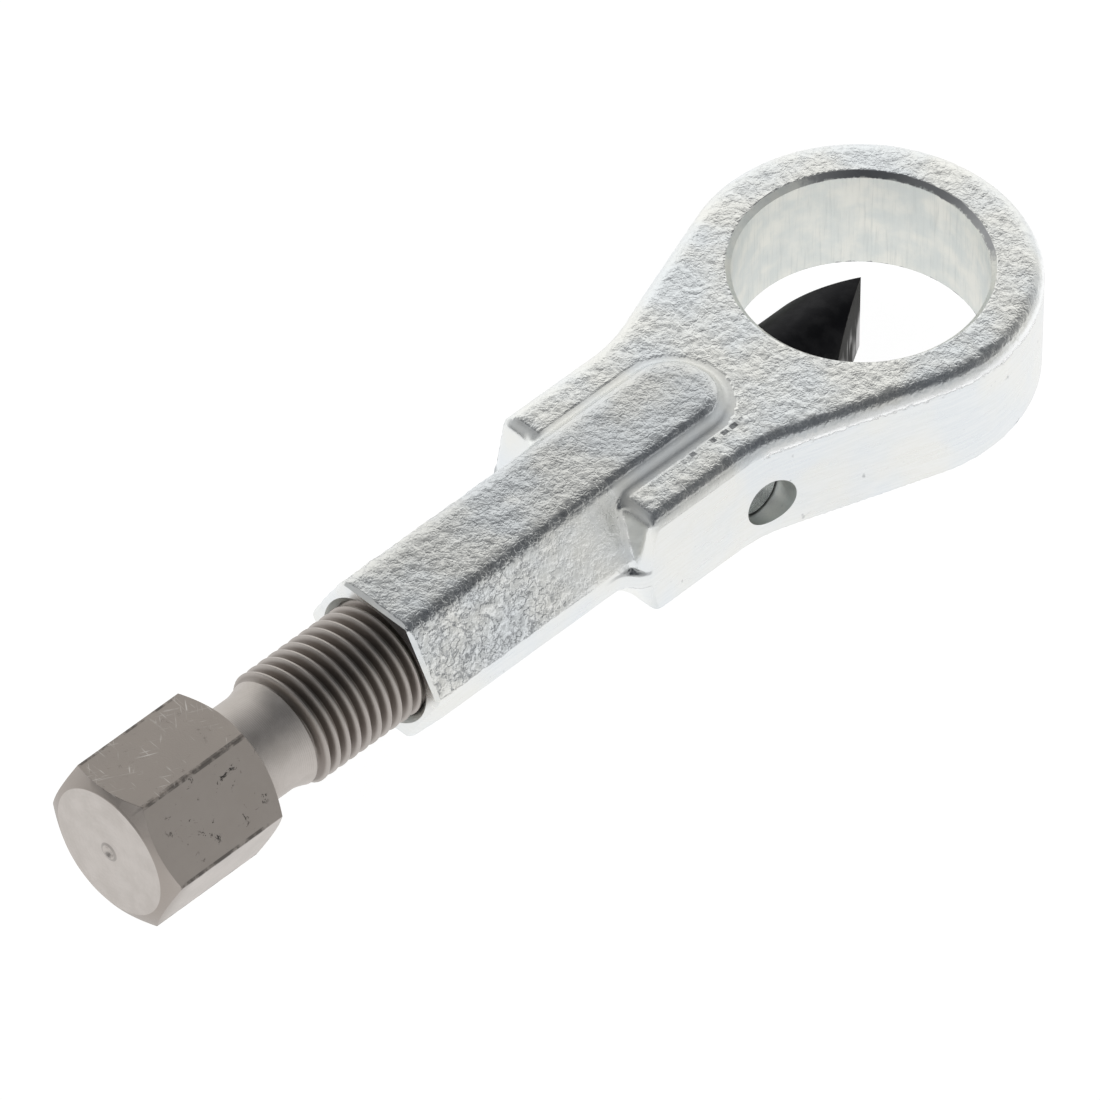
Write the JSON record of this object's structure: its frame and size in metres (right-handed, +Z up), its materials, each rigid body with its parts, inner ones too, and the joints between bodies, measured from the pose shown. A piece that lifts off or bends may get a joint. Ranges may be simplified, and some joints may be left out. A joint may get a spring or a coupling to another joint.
{
  "type": "nut splitter",
  "caption": "Forged ring-ended frame with a hexagon-headed screw spindle that drives a round chisel across the eye to split a seized nut.",
  "frame": {"origin": "centre of the eye, on the axis of the spindle and the chisel, half way through the plate", "axes": "+X along the spindle's axis from the drive hexagon towards the ring, +Z up through the eye, +Y to the left seen from the hexagon"},
  "size_m": [0.1318, 0.0394, 0.0178],
  "materials": {
    "zinc_forging": "zinc plated drop forging, rough as-forged faces and smooth trimmed flanks",
    "spindle_steel": "dull turned and milled alloy steel, warm grey",
    "chisel_steel": "blackened tool steel with ground cutting faces",
    "pin_steel": "plain ground dowel",
    "ball_steel": "polished hardened ball"
  },
  "bodies": {
    "frame": {"body": "zinc_forging", "guide_pin": "pin_steel"},
    "chisel": {"chisel": "chisel_steel", "thrust_ball": "ball_steel"},
    "spindle": {"spindle": "spindle_steel"}
  },
  "joints": [
    {"name": "chisel_feed", "type": "slide", "parent": "frame", "child": "chisel", "axis": [1, 0, 0], "range_m": [-0.012, 0.013]},
    {"name": "spindle_turn", "type": "hinge", "parent": "chisel", "child": "spindle", "pos_m": [-0.08, 0, 0], "axis": [1, 0, 0], "range_deg": [-2880, 3120]}
  ],
  "couplings": [
    {"joint": "spindle_turn", "follows": "chisel_feed", "rad_per_m": 4188.8}
  ]
}
